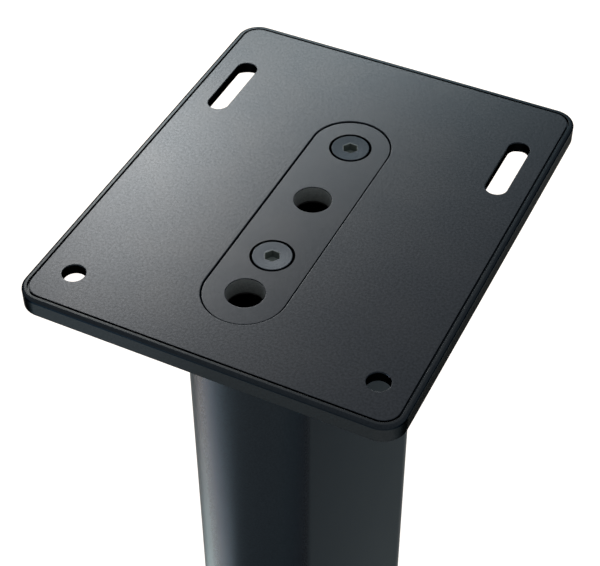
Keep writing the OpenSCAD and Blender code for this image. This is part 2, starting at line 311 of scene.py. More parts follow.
class Skin:
    """The surface of one piece, gathered patch by patch and joined into a closed mesh."""

    def __init__(self) -> None:
        """Starts with no points and no faces."""
        self.points: list[np.ndarray] = []
        self.faces: list[list[int]] = []
        self.coats: list[int] = []
        self.count = 0
        self.coat = 0

    def add(self, points: np.ndarray, faces: np.ndarray) -> None:
        """Adds points as rows of x, y, z, and faces as rows of their numbers, in the coat that is set."""
        self.points.append(points)
        self.faces += (faces + self.count).tolist()
        self.coats += [self.coat] * len(faces)
        self.count += len(points)

    def grid(self, points: np.ndarray, round_columns: bool = True, round_rows: bool = False) -> None:
        """Adds a grid of points with a quad in each cell.

        Args:
            points: the grid, as rows, columns and x, y, z.
            round_columns: whether the last column joins the first.
            round_rows: whether the last row joins the first.
        """
        rows, columns = points.shape[:2]
        number = np.arange(rows * columns).reshape(rows, columns)
        if round_columns:
            number = np.concatenate([number, number[:, :1]], axis=1)
        if round_rows:
            number = np.concatenate([number, number[:1]], axis=0)
        cells = [number[:-1, :-1], number[:-1, 1:], number[1:, 1:], number[1:, :-1]]
        self.add(points.reshape(-1, 3), np.stack(cells, axis=2).reshape(-1, 4))

    def sweep(self, outline: Outline, path: np.ndarray, closed: bool = False) -> None:
        """Carries a section round an outline: a point is (outline point + offset * normal, height).

        Args:
            outline: the outline that the section follows.
            path: the section, as rows of offset and height.
            closed: whether the section's last point joins its first.
        """
        flat = outline.points + path[:, 0, None, None] * outline.normals
        height = np.broadcast_to(path[:, 1, None, None], flat.shape[:2] + (1,))
        self.grid(np.concatenate([flat, height], axis=2), round_rows=closed)

    def level(self, height: float, outer: np.ndarray, *holes: np.ndarray) -> None:
        """Adds a level face between an outer loop and its holes."""
        points = np.concatenate([outer, *holes])
        ends = np.cumsum([len(loop) for loop in (outer, *holes)])
        loops = np.split(np.arange(len(points)), ends[:-1])
        flat = np.full((len(points), 1), height)
        self.add(np.concatenate([points, flat], axis=1), triangulate(points, loops))

    def cone(self, rim: np.ndarray, height: float, x: float, y: float, apex: float) -> None:
        """Closes a rim at one height with a cone to an apex."""
        low = np.concatenate([rim, np.full((len(rim), 1), height)], axis=1)
        self.grid(np.stack([low, np.broadcast_to((x, y, apex), low.shape)]))

    def bored_wall(
        self, loop: np.ndarray, low: float, high: float, holes: list[NoseHole], nose_r: float
    ) -> None:
        """Adds an upright wall with round holes through its back nose.

        The wall is unrolled to (length along the outline, height) and triangulated there. A rim point's
        length is read off the nose by its angle, so the holes and the wall share one flat map.

        Args:
            loop: the wall's outline, which starts away from the nose.
            low: the height of its lower edge.
            high: the height of its upper edge.
            holes: the holes.
            nose_r: the radius of the nose.
        """
        ring = np.concatenate([loop, loop[:1]])
        length = np.concatenate([[0], np.cumsum(np.linalg.norm(np.diff(ring, axis=0), axis=1))])
        shares = (-4, -2.2, -1.4, 1.4, 2.2, 4)
        near = [hole.height + hole.radius * share for hole in holes for share in shares]
        rows = np.unique([low, high, *near])
        s, z = (a.ravel() for a in np.meshgrid(length, rows))
        xyz = np.concatenate([np.tile(ring, (len(rows), 1)), z[:, None]], axis=1)
        count = len(length)
        last = count * (len(rows) - 1)
        border = np.concatenate([
            np.arange(count - 1),
            np.arange(len(rows) - 1) * count + count - 1,
            last + np.arange(count - 1, 0, -1),
            np.arange(len(rows) - 1, 0, -1) * count,
        ])
        nose_y = holes[0].nose_y
        on_nose = np.flatnonzero(ring[:-1, 1] > nose_y + WELD)
        angle = np.arctan2(ring[on_nose, 1] - nose_y, ring[on_nose, 0])
        loops, flat, solid = [border], np.stack([s, z], axis=1), xyz
        for hole in holes:
            rim = hole.rim(nose_r)
            along = np.interp(np.arctan2(rim[:, 1] - nose_y, rim[:, 0]), angle, length[on_nose])
            loops.append(len(flat) + np.arange(len(rim)))
            flat = np.concatenate([flat, np.stack([along, rim[:, 2]], axis=1)])
            solid = np.concatenate([solid, rim])
        self.add(solid, triangulate(flat, loops))

    def thread(self, x: float, y: float, low: float, high: float) -> None:
        """Adds a coarse 8 mm thread about an upright axis.

        A point at turn t and step v has the height low + pitch * (v + t), clipped to the rod, and the radius
        root + depth * crest(v) * fade, so that its rows run along the ridge. The crest is a flat of 1 / 8 of
        the pitch, the root one of 1 / 4, and the fade takes the ridge out at both ends.

        Args:
            x: the axis's x.
            y: the axis's y.
            low: the height of the thread's lower end.
            high: the height of its upper end.
        """
        turns = math.ceil((high - low) / THREAD_PITCH) + 1
        knots = np.array([0, 1 / 8, 7 / 16, 11 / 16])
        v = (np.arange(-1, turns)[:, None] + knots).ravel()
        crest = np.tile([1.0, 1.0, 0.0, 0.0], turns + 1)
        t = np.arange(ROUND_STEPS + 1) / ROUND_STEPS
        height = np.clip(low + THREAD_PITCH * (v[:, None] + t), low, high)
        fade = np.clip(np.minimum(height - low, high - height) / THREAD_PITCH, 0, 1)
        reach = THREAD_R - THREAD_DEPTH + THREAD_DEPTH * crest[:, None] * fade
        flat = np.array([x, y]) + reach[..., None] * on_circle(math.tau * t)
        self.grid(np.concatenate([flat, height[..., None]], axis=2), round_columns=False)

    def hex_socket(self, mouth: Outline, face: float, depth: float, x: float, y: float) -> None:
        """Adds a hexagon socket under a level face, with a softened mouth and a drilled bottom."""
        floor = face - depth
        self.sweep(mouth, section((SOCKET_MOUTH, face, 0), (0, face - SOCKET_MOUTH, 0), (0, floor, 0)))
        self.cone(mouth.points, floor, x, y, floor - depth / 6)

    def turn_over(self, y: float, z: float) -> None:
        """Turns the skin by half a turn about the line along X through (y, z), which mirrors both y and z."""
        self.points = [np.array([0, 2 * y, 2 * z]) + p * (1, -1, -1) for p in self.points]

    def mesh(self, name: str) -> bpy.types.Mesh:
        """Joins the patches into one closed mesh whose faces point outwards, smooth but for its edges."""
        mesh = bpy.data.meshes.new(name)
        mesh.from_pydata(np.concatenate(self.points).tolist(), [], self.faces)
        mesh.polygons.foreach_set("material_index", self.coats)
        joined = bmesh.new()
        joined.from_mesh(mesh)
        bmesh.ops.remove_doubles(joined, verts=joined.verts, dist=WELD)
        bmesh.ops.dissolve_degenerate(joined, edges=joined.edges, dist=WELD)
        loose = [vert for vert in joined.verts if not vert.link_faces]
        bmesh.ops.delete(joined, geom=loose, context="VERTS")
        bmesh.ops.recalc_face_normals(joined, faces=joined.faces)
        open_edges = sum(not edge.is_manifold for edge in joined.edges)
        joined.to_mesh(mesh)
        joined.free()
        mesh.shade_smooth()
        mesh.set_sharp_from_angle(angle=SHARP_ANGLE)
        log.info("%s: %d faces, %d open edges", name, len(mesh.polygons), open_edges)
        return mesh


class Graph:
    """A node tree with short calls that add its nodes and join them."""

    def __init__(self, tree: bpy.types.NodeTree) -> None:
        """Takes the tree that the nodes go into."""
        self.tree = tree

    def node(self, kind: str, inputs: dict | None = None, **settings: object) -> bpy.types.Node:
        """Adds a node.

        Args:
            kind: the node's type.
            inputs: for each named or numbered input, a value or the socket that feeds it.
            settings: the node's own properties.

        Returns:
            The node.
        """
        node = self.tree.nodes.new(kind)
        for name, value in settings.items():
            setattr(node, name, value)
        for name, value in (inputs or {}).items():
            if isinstance(value, Socket):
                self.tree.links.new(value, node.inputs[name])
            else:
                node.inputs[name].default_value = value
        return node

    def math(self, operation: str, *values: object) -> Socket:
        """Adds a Math node over one, two or three values or sockets."""
        return self.node("ShaderNodeMath", dict(enumerate(values)), operation=operation).outputs[0]

    def effect(self, tree: bpy.types.NodeTree, **values: float | Point) -> dict[str, Socket]:
        """Places an effect's group with this material's values, and gives its outputs by name."""
        return dict(self.node("ShaderNodeGroup", values, node_tree=tree).outputs.items())

    def vector(self, operation: str, *values: object) -> bpy.types.Node:
        """Adds a Vector Math node over one or two vectors or sockets."""
        return self.node("ShaderNodeVectorMath", dict(enumerate(values)), operation=operation)

    def span(self, value: Socket, low: float, high: float, start: float, end: float) -> Socket:
        """Maps low..high smoothly onto start..end, clamped at both ends."""
        inputs = {"Value": value, "From Min": low, "From Max": high, "To Min": start, "To Max": end}
        return self.node("ShaderNodeMapRange", inputs, interpolation_type="SMOOTHSTEP").outputs["Result"]

    def tint(self, mask: Socket, base: object, over: Colour) -> Socket:
        """Lays one colour over another where a mask says."""
        node = self.node("ShaderNodeMix", {"Factor": mask}, data_type="RGBA")
        colours = [socket for socket in node.inputs if socket.type == "RGBA"]
        for socket, colour in zip(colours, (base, over)):
            if isinstance(colour, Socket):
                self.tree.links.new(colour, socket)
            else:
                socket.default_value = (*colour, 1)
        return next(socket for socket in node.outputs if socket.type == "RGBA")

    def noise(self, place: object, scale: object, detail: float = 2.0) -> Socket:
        """Adds cloudy noise from 0 to 1 at a number of clouds to the metre."""
        inputs = {"Vector": place, "Scale": scale, "Detail": detail}
        return self.node("ShaderNodeTexNoise", inputs).outputs[0]

    def streaks(self, reach: Socket, detail: float) -> Socket:
        """Adds noise from 0 to 1 that changes along one length alone."""
        inputs = {"W": reach, "Scale": 1.0, "Detail": detail}
        return self.node("ShaderNodeTexNoise", inputs, noise_dimensions="1D").outputs[0]

    def place(self) -> Socket:
        """Adds the object's own coordinates."""
        return self.node("ShaderNodeTexCoord").outputs["Object"]


class EffectGroup:
    """A node group that several materials share, with named inputs and outputs."""

    def __init__(self, name: str, inputs: dict[str, float | Colour], outputs: list[str]) -> None:
        """Makes the group's sockets.

        Args:
            name: the group's name.
            inputs: the inputs' names with their values at first: numbers or vectors.
            outputs: the names of the outputs, all of them numbers.
        """
        self.tree = bpy.data.node_groups.new(name, "ShaderNodeTree")
        for socket, value in inputs.items():
            kind = "NodeSocketVector" if isinstance(value, tuple) else "NodeSocketFloat"
            made = self.tree.interface.new_socket(name=socket, in_out="INPUT", socket_type=kind)
            made.default_value = value
        for socket in outputs:
            self.tree.interface.new_socket(name=socket, in_out="OUTPUT", socket_type="NodeSocketFloat")
        self.graph = Graph(self.tree)
        self.source = self.graph.node("NodeGroupInput").outputs
        self.sink = self.graph.node("NodeGroupOutput").inputs

    def put(self, output: str, value: Socket) -> None:
        """Joins a value to one of the group's outputs."""
        self.tree.links.new(value, self.sink[output])


@functools.cache
def powder_grain() -> bpy.types.NodeTree:
    """The skin of a baked powder coat.

    Height is a fine orange peel with small pits in it, Speckle the light and dark of single grains, and Cloud
    the slow change of gloss over a hand's width.

    Returns:
        The group, with inputs Grain and Clouds, in features to the metre.
    """
    group = EffectGroup("Powder grain", {"Grain": 1400.0, "Clouds": 14.0}, ["Height", "Speckle", "Cloud"])
    graph, place = group.graph, group.graph.place()
    peel = graph.noise(place, group.source["Grain"], 3.0)
    finer = graph.math("MULTIPLY", group.source["Grain"], 2.3)
    cells = graph.node("ShaderNodeTexVoronoi", {"Vector": place, "Scale": finer}, feature="SMOOTH_F1")
    pits = graph.span(cells.outputs["Distance"], 0.0, 0.5, 0.0, 1.0)
    group.put("Height", graph.math("MULTIPLY_ADD", pits, 0.35, peel))
    group.put("Speckle", graph.noise(place, group.source["Grain"], 2.0))
    group.put("Cloud", graph.noise(place, group.source["Clouds"], 2.0))
    return group.tree


@functools.cache
def edge_wear() -> bpy.types.NodeTree:
    """Wear along the edges: how far the normal turns within a small radius, broken up by noise.

    Returns:
        The group, with inputs Radius in metres and Amount, and the output Wear.
    """
    group = EffectGroup("Edge wear", {"Radius": 0.4 * MM, "Amount": 1.0}, ["Wear"])
    graph, place = group.graph, group.graph.place()
    soft = graph.node("ShaderNodeBevel", {"Radius": group.source["Radius"]}, samples=4)
    plain = graph.node("ShaderNodeNewGeometry").outputs["Normal"]
    match = graph.vector("DOT_PRODUCT", soft.outputs["Normal"], plain).outputs["Value"]
    turned = graph.span(match, 0.99, 0.80, 0.0, 1.0)
    broken = graph.span(graph.noise(place, 220.0, 4.0), 0.42, 0.68, 0.15, 1.0)
    group.put("Wear", graph.math("MULTIPLY", graph.math("MULTIPLY", turned, broken), group.source["Amount"]))
    return group.tree


@functools.cache
def turned_rings() -> bpy.types.NodeTree:
    """Marks that a lathe leaves: rings about an upright axis, with r the distance from the nearest axis.

    The axes stand at (+-x, +-y) of Centre, because the parts repeat on both sides of the stand, so the
    distance is taken from (|X| - x, |Y| - y).

    Returns:
        The group, with inputs Centre and Rings, in rings to the metre, and outputs Height and Tone.
    """
    group = EffectGroup("Turned rings", {"Centre": (0.0, 0.0, 0.0), "Rings": 4000.0}, ["Height", "Tone"])
    graph = group.graph
    mirrored = graph.vector("ABSOLUTE", graph.place()).outputs["Vector"]
    away = graph.vector("SUBTRACT", mirrored, group.source["Centre"]).outputs["Vector"]
    flat = graph.vector("MULTIPLY", away, (1.0, 1.0, 0.0)).outputs["Vector"]
    reach = graph.vector("LENGTH", flat).outputs["Value"]
    turns = graph.math("MULTIPLY", reach, group.source["Rings"])
    lines = graph.streaks(turns, 2.0)
    bands = graph.streaks(graph.math("MULTIPLY", turns, 0.13), 1.0)
    group.put("Height", lines)
    group.put("Tone", graph.math("MULTIPLY_ADD", lines, 0.5, graph.math("MULTIPLY", bands, 0.5)))
    return group.tree


@functools.cache
def settled_dust() -> bpy.types.NodeTree:
    """Dust that has settled on faces that look up, in soft drifts with single flecks.

    Returns:
        The group, with the input Amount and the output Dust.
    """
    group = EffectGroup("Settled dust", {"Amount": 0.1}, ["Dust"])
    graph, place = group.graph, group.graph.place()
    normal = graph.node("ShaderNodeNewGeometry").outputs["Normal"]
    up = graph.vector("DOT_PRODUCT", normal, (0.0, 0.0, 1.0)).outputs["Value"]
    facing = graph.span(up, 0.4, 1.0, 0.0, 1.0)
    drifts = graph.span(graph.noise(place, 40.0, 5.0), 0.35, 0.75, 0.4, 1.0)
    cells = graph.node("ShaderNodeTexVoronoi", {"Vector": place, "Scale": 520.0})
    flecks = graph.span(cells.outputs["Distance"], 0.14, 0.05, 0.0, 2.0)
    dust = graph.math("MULTIPLY", graph.math("ADD", drifts, flecks), facing)
    group.put("Dust", graph.math("MULTIPLY", dust, group.source["Amount"]))
    return group.tree


@dataclass(frozen=True)
class Finish:
    """A finish: the colour and gloss that all kinds share, and the effects laid over them."""

    name: str
    colour: Colour
    roughness: float
    metallic: float = 1.0
    specular: float = 0.5
    edge_tint: Colour = WHITE
    speckle: float = 0.14
    worn_colour: Colour = (0.1, 0.1, 0.1)
    wear: float = 0.25
    dust: float = 0.004
    relief: float = 0.01 * MM
    cloudiness: float = 0.004

    def marks(self, graph: Graph) -> tuple[Socket, Socket, Socket]:
        """The surface marks of this kind of finish: height, tone and gloss, each from 0 to 1."""
        raise NotImplementedError

    def material(self) -> bpy.types.Material:
        """Makes the finish's material.

        Returns:
            The material: the colour shaded by the marks' tone, worn along its edges and dusted on top.
        """
        material = bpy.data.materials.new(self.name)
        material.use_nodes = True
        graph = Graph(material.node_tree)
        shader = material.node_tree.nodes["Principled BSDF"]
        height, tone, gloss = self.marks(graph)
        shade = graph.span(tone, 0.25, 0.75, -1.0, 1.0)
        darker = tuple((1 - self.speckle) * part for part in self.colour)
        lighter = tuple((1 + self.speckle) * part for part in self.colour)
        base = graph.tint(graph.math("MULTIPLY_ADD", shade, 0.5, 0.5), darker, lighter)
        wear = graph.effect(edge_wear(), Amount=self.wear)["Wear"]
        dust = graph.effect(settled_dust(), Amount=self.dust)["Dust"]
        base = graph.tint(dust, graph.tint(wear, base, self.worn_colour), DUST)
        cloud = graph.span(gloss, 0.3, 0.7, -1.0, 1.0)
        rough = graph.math("MULTIPLY_ADD", cloud, self.cloudiness, self.roughness)
        rough = graph.math("MULTIPLY_ADD", dust, 0.3, rough)
        bump = graph.node("ShaderNodeBump", {"Height": height, "Distance": self.relief, "Strength": 1.0})
        links = material.node_tree.links
        links.new(base, shader.inputs["Base Color"])
        links.new(rough, shader.inputs["Roughness"])
        links.new(bump.outputs["Normal"], shader.inputs["Normal"])
        if self.metallic:
            bare = graph.math("SUBTRACT", 1.0, dust)
            links.new(graph.math("MULTIPLY", bare, self.metallic), shader.inputs["Metallic"])
        else:
            shader.inputs["Metallic"].default_value = 0.0
        shader.inputs["Specular Tint"].default_value = (*self.edge_tint, 1)
        shader.inputs["Specular IOR Level"].default_value = self.specular
        return material


@dataclass(frozen=True)
class SatinBlack(Finish):
    """A satin black coat with a fine even grain, whose edge_tint keeps it dark at a low angle."""

    metallic: float = 0.925
    edge_tint: Colour = DARK_EDGE
    grain: float = 1400.0

    def marks(self, graph: Graph) -> tuple[Socket, Socket, Socket]:
        """Takes height, tone and gloss from the powder's grain."""
        grain = graph.effect(powder_grain(), Grain=self.grain)
        return grain["Height"], grain["Speckle"], grain["Cloud"]


@dataclass(frozen=True)
class BareBlack(SatinBlack):
    """The plate's own coat, which is wholly metallic, without the pale gloss of a clear layer."""

    metallic: float = 1.0
    wear: float = 0.1


@dataclass(frozen=True)
class BlastedBlack(SatinBlack):
    """The head's blasted faces: grains of about a millimetre, lighter and darker, with hardly any relief."""

    speckle: float = 0.2
    wear: float = 0.04
    relief: float = 0.008 * MM
    grain: float = 1000.0


@dataclass(frozen=True)
class TurnedMetal(Finish):
    """Metal turned on a lathe, with rings about its axis."""

    centre: Point = SCREW_AXIS
    rings: float = 4000.0

    def marks(self, graph: Graph) -> tuple[Socket, Socket, Socket]:
        """Takes height, tone and gloss from the lathe's rings."""
        rings = graph.effect(turned_rings(), Centre=self.centre, Rings=self.rings)
        return rings["Height"], rings["Tone"], rings["Tone"]


@dataclass(frozen=True)
class MouldedRubber(Finish):
    """Moulded rubber: soft, dull and a little cloudy."""

    metallic: float = 0.0
    pores: float = 2600.0
    clouds: float = 70.0

    def marks(self, graph: Graph) -> tuple[Socket, Socket, Socket]:
        """Takes height from fine pores, and tone and gloss from their clouds."""
        pores = graph.effect(powder_grain(), Grain=self.pores, Clouds=self.clouds)
        return pores["Height"], pores["Cloud"], pores["Cloud"]


@functools.cache
def material_of(finish: Finish) -> bpy.types.Material:
    """The finish's material, made once."""
    return finish.material()


@dataclass(frozen=True)
class StandFinishes:
    """The finishes of the whole stand."""

    plate: Finish = BareBlack("satin black plate", (0.0115, 0.0145, 0.0180), 0.27, edge_tint=RIM_EDGE)
    # Painted shading: a copy of the plate's coat for its side walls, with its colour and grazing tint tuned
    # to how light falls on them.
    side: Finish = BareBlack("satin black side", (0.0275, 0.031, 0.0335), 0.3, edge_tint=SIDE_WALL_SHADING_EDGE, wear=0.06)
    sheet: Finish = BlastedBlack("blasted black sheet", SHEET_BLACK, 0.26)
    insert: Finish = BlastedBlack("blasted black insert", SHEET_BLACK, 0.255, speckle=0.08)
    column: Finish = SatinBlack("satin black column", (0.0164, 0.0204, 0.0248), 0.38, wear=0.08)
    base: Finish = SatinBlack("satin black base", (0.0149, 0.0188, 0.0240), 0.38, wear=0.08)
    # Partly real and partly painted light: the ports' walls are rougher, as the coat there is, and a mid grey
    # much lighter than the insert's coat, which stands in for light falling on them.
    bore: Finish = SatinBlack("bored edge", (0.25, 0.275, 0.28), 0.6, edge_tint=GREY_EDGE)
    # Painted shade: the walls of the fixing holes and their recesses, and the insert's countersinks, are near
    # black to stand in for the shade in them.
    cut_edge: Finish = BareBlack("black cut edge", HOLE_SHADE_BLACK, 0.5, edge_tint=HOLE_SHADE_EDGE, wear=0.0)
    # Lit and shaded copies of one screw finish: the darker copy is painted shade, on the back head screw and
    # the base screws, and the lighter copy is a painted highlight, on the front head screw.
    dark_screw: Finish = TurnedMetal("blued steel", (0.0096, 0.0121, 0.0162), 0.26, edge_tint=DARK_EDGE)
    bright_screw: Finish = TurnedMetal("grey steel", (0.0166, 0.0213, 0.0283), 0.26, edge_tint=DARK_EDGE)
    socket: Finish = TurnedMetal("broached socket", (0.15, 0.175, 0.17), 0.5, edge_tint=GREY_EDGE)
    bush: Finish = TurnedMetal("zinc plated bush", (0.42, 0.43, 0.44), 0.3, centre=FOOT_AXIS)
    spike: Finish = TurnedMetal("bright steel", (0.5, 0.5, 0.5), 0.22, centre=FOOT_AXIS, wear=0.1)
    nut: Finish = TurnedMetal("zinc plated nut", (0.42, 0.43, 0.45), 0.27, centre=FOOT_AXIS)
    shoe: Finish = TurnedMetal("satin nickel", (0.45, 0.44, 0.42), 0.26, centre=FOOT_AXIS, rings=2500.0)
    rubber: Finish = MouldedRubber("black rubber", (0.017, 0.017, 0.018), 0.55, wear=0.1)
    pad: Finish = MouldedRubber("grey pad", (0.035, 0.035, 0.036), 0.85, specular=0.3, wear=0.0)


class Stand:
    """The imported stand, with calls that put finished pieces in the place of its nodes."""

    def __init__(self, rows: dict) -> None:
        """Reads each node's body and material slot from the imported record."""
        bodies = rows["behaviour"]["bodies"]
        self.body = {node: body for body, nodes in bodies.items() for node in nodes}
        self.slot = {row["node"]: row["material_slot"] for row in rows["subparts"]}

    def finish_node(self, node: str, skin: Skin, *coats: Finish) -> None:
        """Makes a finished piece from its skin, and puts it in the place of its node.

        Args:
            node: the node that the piece stands for.
            skin: the piece's surface.
            coats: its finishes, by the number that the skin's faces carry.
        """
        name = f"{node}_finished"
        piece = bpy.data.objects.new(name, skin.mesh(name))
        bpy.context.scene.collection.objects.link(piece)
        for finish in coats:
            piece.data.materials.append(material_of(finish))
        weighted = piece.modifiers.new("Weighted normals", "WEIGHTED_NORMAL")
        weighted.mode = "FACE_AREA_WITH_ANGLE"
        weighted.keep_sharp = True
        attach(piece, self.body[node])
        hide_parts(node)

    def dress_node(self, node: str, finish: Finish) -> None:
        """Gives a node that stays as it is its finish."""
        piece = frame["nodes"][node]
        piece.data.materials.clear()
        piece.data.materials.append(material_of(finish))
        log.info("%s: kept, with the finish %s", node, finish.name)


@dataclass(frozen=True)
class Screw:
    """A countersunk screw with a hexagon socket, about the upright axis through (0, y)."""

    node: str
    y: float
    face: float
    turned_over: bool = False
    length: float = 30 * MM
    head: float = 8.2 * MM
    dish_r: float = 3.9 * MM
    dish_depth: float = 0.06 * MM
    socket: float = 5.7 * MM
    depth: float = 3.6 * MM
    corner: float = math.radians(56)

    def skin(self) -> Skin:
        """Builds the screw with its face up, and turns it over where it comes from below."""
        skin, axis = Skin(), spindle(0, self.y)
        face, root, dish = self.face, THREAD_R - THREAD_DEPTH, self.face - self.dish_depth
        end, neck = face - self.length, face - SCREW_LAND - self.head + THREAD_R
        tip = section((0, end, 0), (root - THREAD_DEPTH, end, 0.1 * MM), (root, end + THREAD_DEPTH, 0))
        skin.sweep(axis, tip)
        skin.thread(0, self.y, end + THREAD_DEPTH, neck - THREAD_DEPTH)
        head = section(
            (root, neck - THREAD_DEPTH, 0),
            (self.head, face - SCREW_LAND, 0.1 * MM),
            (self.head, face, 0.28 * MM),
            (self.dish_r, dish, 0),
        )
        skin.sweep(axis, head)
        mouth = hexagon(self.socket, 0, self.y, self.corner)
        skin.level(dish, axis.offset(self.dish_r), mouth.offset(SOCKET_MOUTH))
        skin.coat = 1
        skin.hex_socket(mouth, dish, self.depth, 0, self.y)
        if self.turned_over:
            skin.turn_over(self.y, face)
        return skin


@dataclass(frozen=True)
class Head:
    """The stand's head: the speaker's plate, the sheet laid into it, and the insert that clamps it down."""

    width: float = 164 * MM
    depth: float = 201.5 * MM
    corner: float = 10 * MM
    under: float = 601.5 * MM
    bed: float = 609 * MM
    top: float = 610 * MM
    ledge: float = 606.5 * MM
    rim: float = 2.2 * MM
    sheet_inset: float = 3.0 * MM
    insert_r: float = 17.1 * MM
    insert_gap: float = 0.45 * MM
    body_inset: float = 2.95 * MM
    body_gap: float = 0.05 * MM
    insert_under: float = 601.7 * MM
    face: float = 609.5 * MM
    port_r: float = 8 * MM
    port_y: float = 60.7 * MM
    screw_y: float = SCREW_AXIS[1]
    sink_r: float = 8.97 * MM
    fixing_x: float = 65.8 * MM
    fixing_r: float = 4.8 * MM
    hole_y: float = 80.75 * MM
    slot_ends: tuple[float, float] = (40.2 * MM, 67.1 * MM)
    recess_wall: float = 4.2 * MM
    web_under: float = 605 * MM
    side_edge: float = 2 * MM
    broken: float = 0.4 * MM

    def slab(self) -> Outline:
        """The plate's outline."""
        return rectangle(self.width, self.depth, self.corner)

    def opening(self) -> Outline:
        """The opening that the insert sits in."""
        return oblong(self.insert_r + self.insert_gap, -self.port_y, self.screw_y)

    def fixings(self) -> list[Outline]:
        """The speaker fixings: two holes at the front and two slots at the back."""
        low, high = self.slot_ends
        slots = [oblong(self.fixing_r, low, high, side.value * self.fixing_x) for side in Side]
        holes = [circle(side.value * self.fixing_x, -self.hole_y, self.fixing_r) for side in Side]
        return slots + holes

    def plate_skin(self) -> Skin:
        """Builds the plate: its edges, the thin rim, the sheet's bed, the ledged opening and the recesses."""
        skin, slab, opening, fixings = Skin(), self.slab(), self.opening(), self.fixings()
        shoulder, throat = self.top - self.side_edge, self.body_gap - self.body_inset
        edge = section(
            (0, shoulder, 0),
            (0, self.top, 1.2 * MM),
            (-self.rim, self.top, 0.12 * MM),
            (-self.rim, self.bed, 0),
            steps=10,
        )
        skin.sweep(slab, edge)
        skin.level(self.bed, slab.offset(-self.rim), opening.points, *(hole.points for hole in fixings))
        mouth = section(
            (0, self.bed, 0),
            (0, self.ledge, 0.1 * MM),
            (throat, self.ledge, 0.15 * MM),
            (throat, self.under + self.broken, 0),
            (throat + self.broken, self.under, 0),
        )
        skin.sweep(opening, mouth)
        below = [opening.offset(throat + self.broken), *(hole.offset(self.recess_wall) for hole in fixings)]
        skin.level(self.under, slab.offset(-self.side_edge), *below)
        recess = section(
            (0, self.bed, 0),
            (0, self.web_under, 0.2 * MM),
            (self.recess_wall, self.web_under, 0.2 * MM),
            (self.recess_wall, self.under, 0),
        )
        # Painted shade: the fixing holes' walls and the recesses under them take the near-black hole shade.
        skin.coat = 1
        for hole in fixings:
            skin.sweep(hole, recess)
        foot = ((-self.side_edge, self.under, 0), (0, self.under, 0.3 * MM), (0, shoulder, 0))
        # Painted shading: the side walls below the shoulder take the side copy of the plate's coat.
        skin.coat = 2
        skin.sweep(slab, section(*foot, steps=10))
        return skin

    def sheet_skin(self) -> Skin:
        """Builds the sheet that lies in the plate's bed, with its edges just broken."""
        skin, slab, opening, fixings = Skin(), self.slab(), self.opening(), self.fixings()
        inset, turn, top = -self.sheet_inset, 0.45 * MM, self.top
        skin.sweep(slab, section((inset, self.bed, 0), (inset, top, 0.12 * MM), (inset - turn, top, 0)))
        skin.sweep(opening, section((turn, top, 0), (0, top, 0.35 * MM), (0, self.bed, 0)))
        holes = [opening, *fixings]
        skin.level(top, slab.offset(inset - turn), *(hole.offset(turn) for hole in holes))
        skin.level(self.bed, slab.offset(inset), *(hole.points for hole in holes))
        for hole in fixings:
            skin.sweep(hole, section((turn, top, 0), (0, top, 0.2 * MM), (0, top - turn, 0)))
        # Painted shade: the lower walls of the sheet's fixing holes take the near-black hole shade.
        skin.coat = 1
        for hole in fixings:
            skin.sweep(hole, section((0, top - turn, 0), (0, self.bed, 0)))
        return skin

    def insert_skin(self) -> Skin:
        """Builds the insert: a flange on a body, two ports for the column's filling and two countersinks."""
        skin, outline = Skin(), oblong(self.insert_r, -self.port_y, self.screw_y)
        face, under, body, lip, broken = self.face, self.insert_under, -self.body_inset, 0.3 * MM, self.broken
        side = section(
            (body - broken, under, 0),
            (body, under, 0.3 * MM),
            (body, self.ledge, 0),
            (0, self.ledge, 0.1 * MM),
            (0, face, 0.16 * MM),
            (-broken, face, 0),
        )
        skin.sweep(outline, side)
        ports = [circle(0, y, self.port_r) for y in (0, -self.port_y)]
        for port in ports:
            skin.sweep(port, section((lip, face, 0), (0, face, 0.15 * MM), (0, face - lip, 0)))
        sink = countersink(self.sink_r, face, under)
        axes = [spindle(0, end.value * self.screw_y) for end in End]
        top, bottom = (face, -broken, lip, sink[0, 0]), (under, body - broken, broken, sink[-1, 0])
        for height, edge, wide, mouth in (top, bottom):
            holes = [port.offset(wide) for port in ports] + [axis.offset(mouth) for axis in axes]
            skin.level(height, outline.offset(edge), *holes)
        # Painted light: the ports' walls take the lighter grey port finish, which stands in for light falling
        # on them.
        skin.coat = 1
        for port in ports:
            skin.sweep(port, section((0, face - lip, 0), (0, under, 0.2 * MM), (broken, under, 0)))
        # Painted shade: the countersinks take the near-black hole shade, standing in for the dark gap round
        # the screw heads.
        skin.coat = 2
        for axis in axes:
            skin.sweep(axis, sink)
        return skin

    def build(self, stand: Stand, finishes: StandFinishes) -> None:
        """Builds and dresses the head.

        Args:
            stand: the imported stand.
            finishes: its finishes.
        """
        # The near-black hole shade is painted shade for the holes, recesses and countersinks.
        hole_shade_coat = finishes.cut_edge
        stand.finish_node("top_plate", self.plate_skin(), finishes.plate, hole_shade_coat, finishes.side)
        stand.finish_node("top_inlay", self.sheet_skin(), finishes.sheet, hole_shade_coat)
        stand.finish_node("head_insert", self.insert_skin(), finishes.insert, finishes.bore, hole_shade_coat)
        # The head screws share one finish: the back one takes its darker copy as painted shade, and the front
        # one takes its lighter copy as a painted highlight.
        for end, steel in ((End.BACK, finishes.dark_screw), (End.FRONT, finishes.bright_screw)):
            screw = Screw(f"insert_screw_{end.name.lower()}", end.value * self.screw_y, self.face)
            stand.finish_node(screw.node, screw.skin(), steel, finishes.socket)
        stand.dress_node("head_gasket", finishes.rubber)


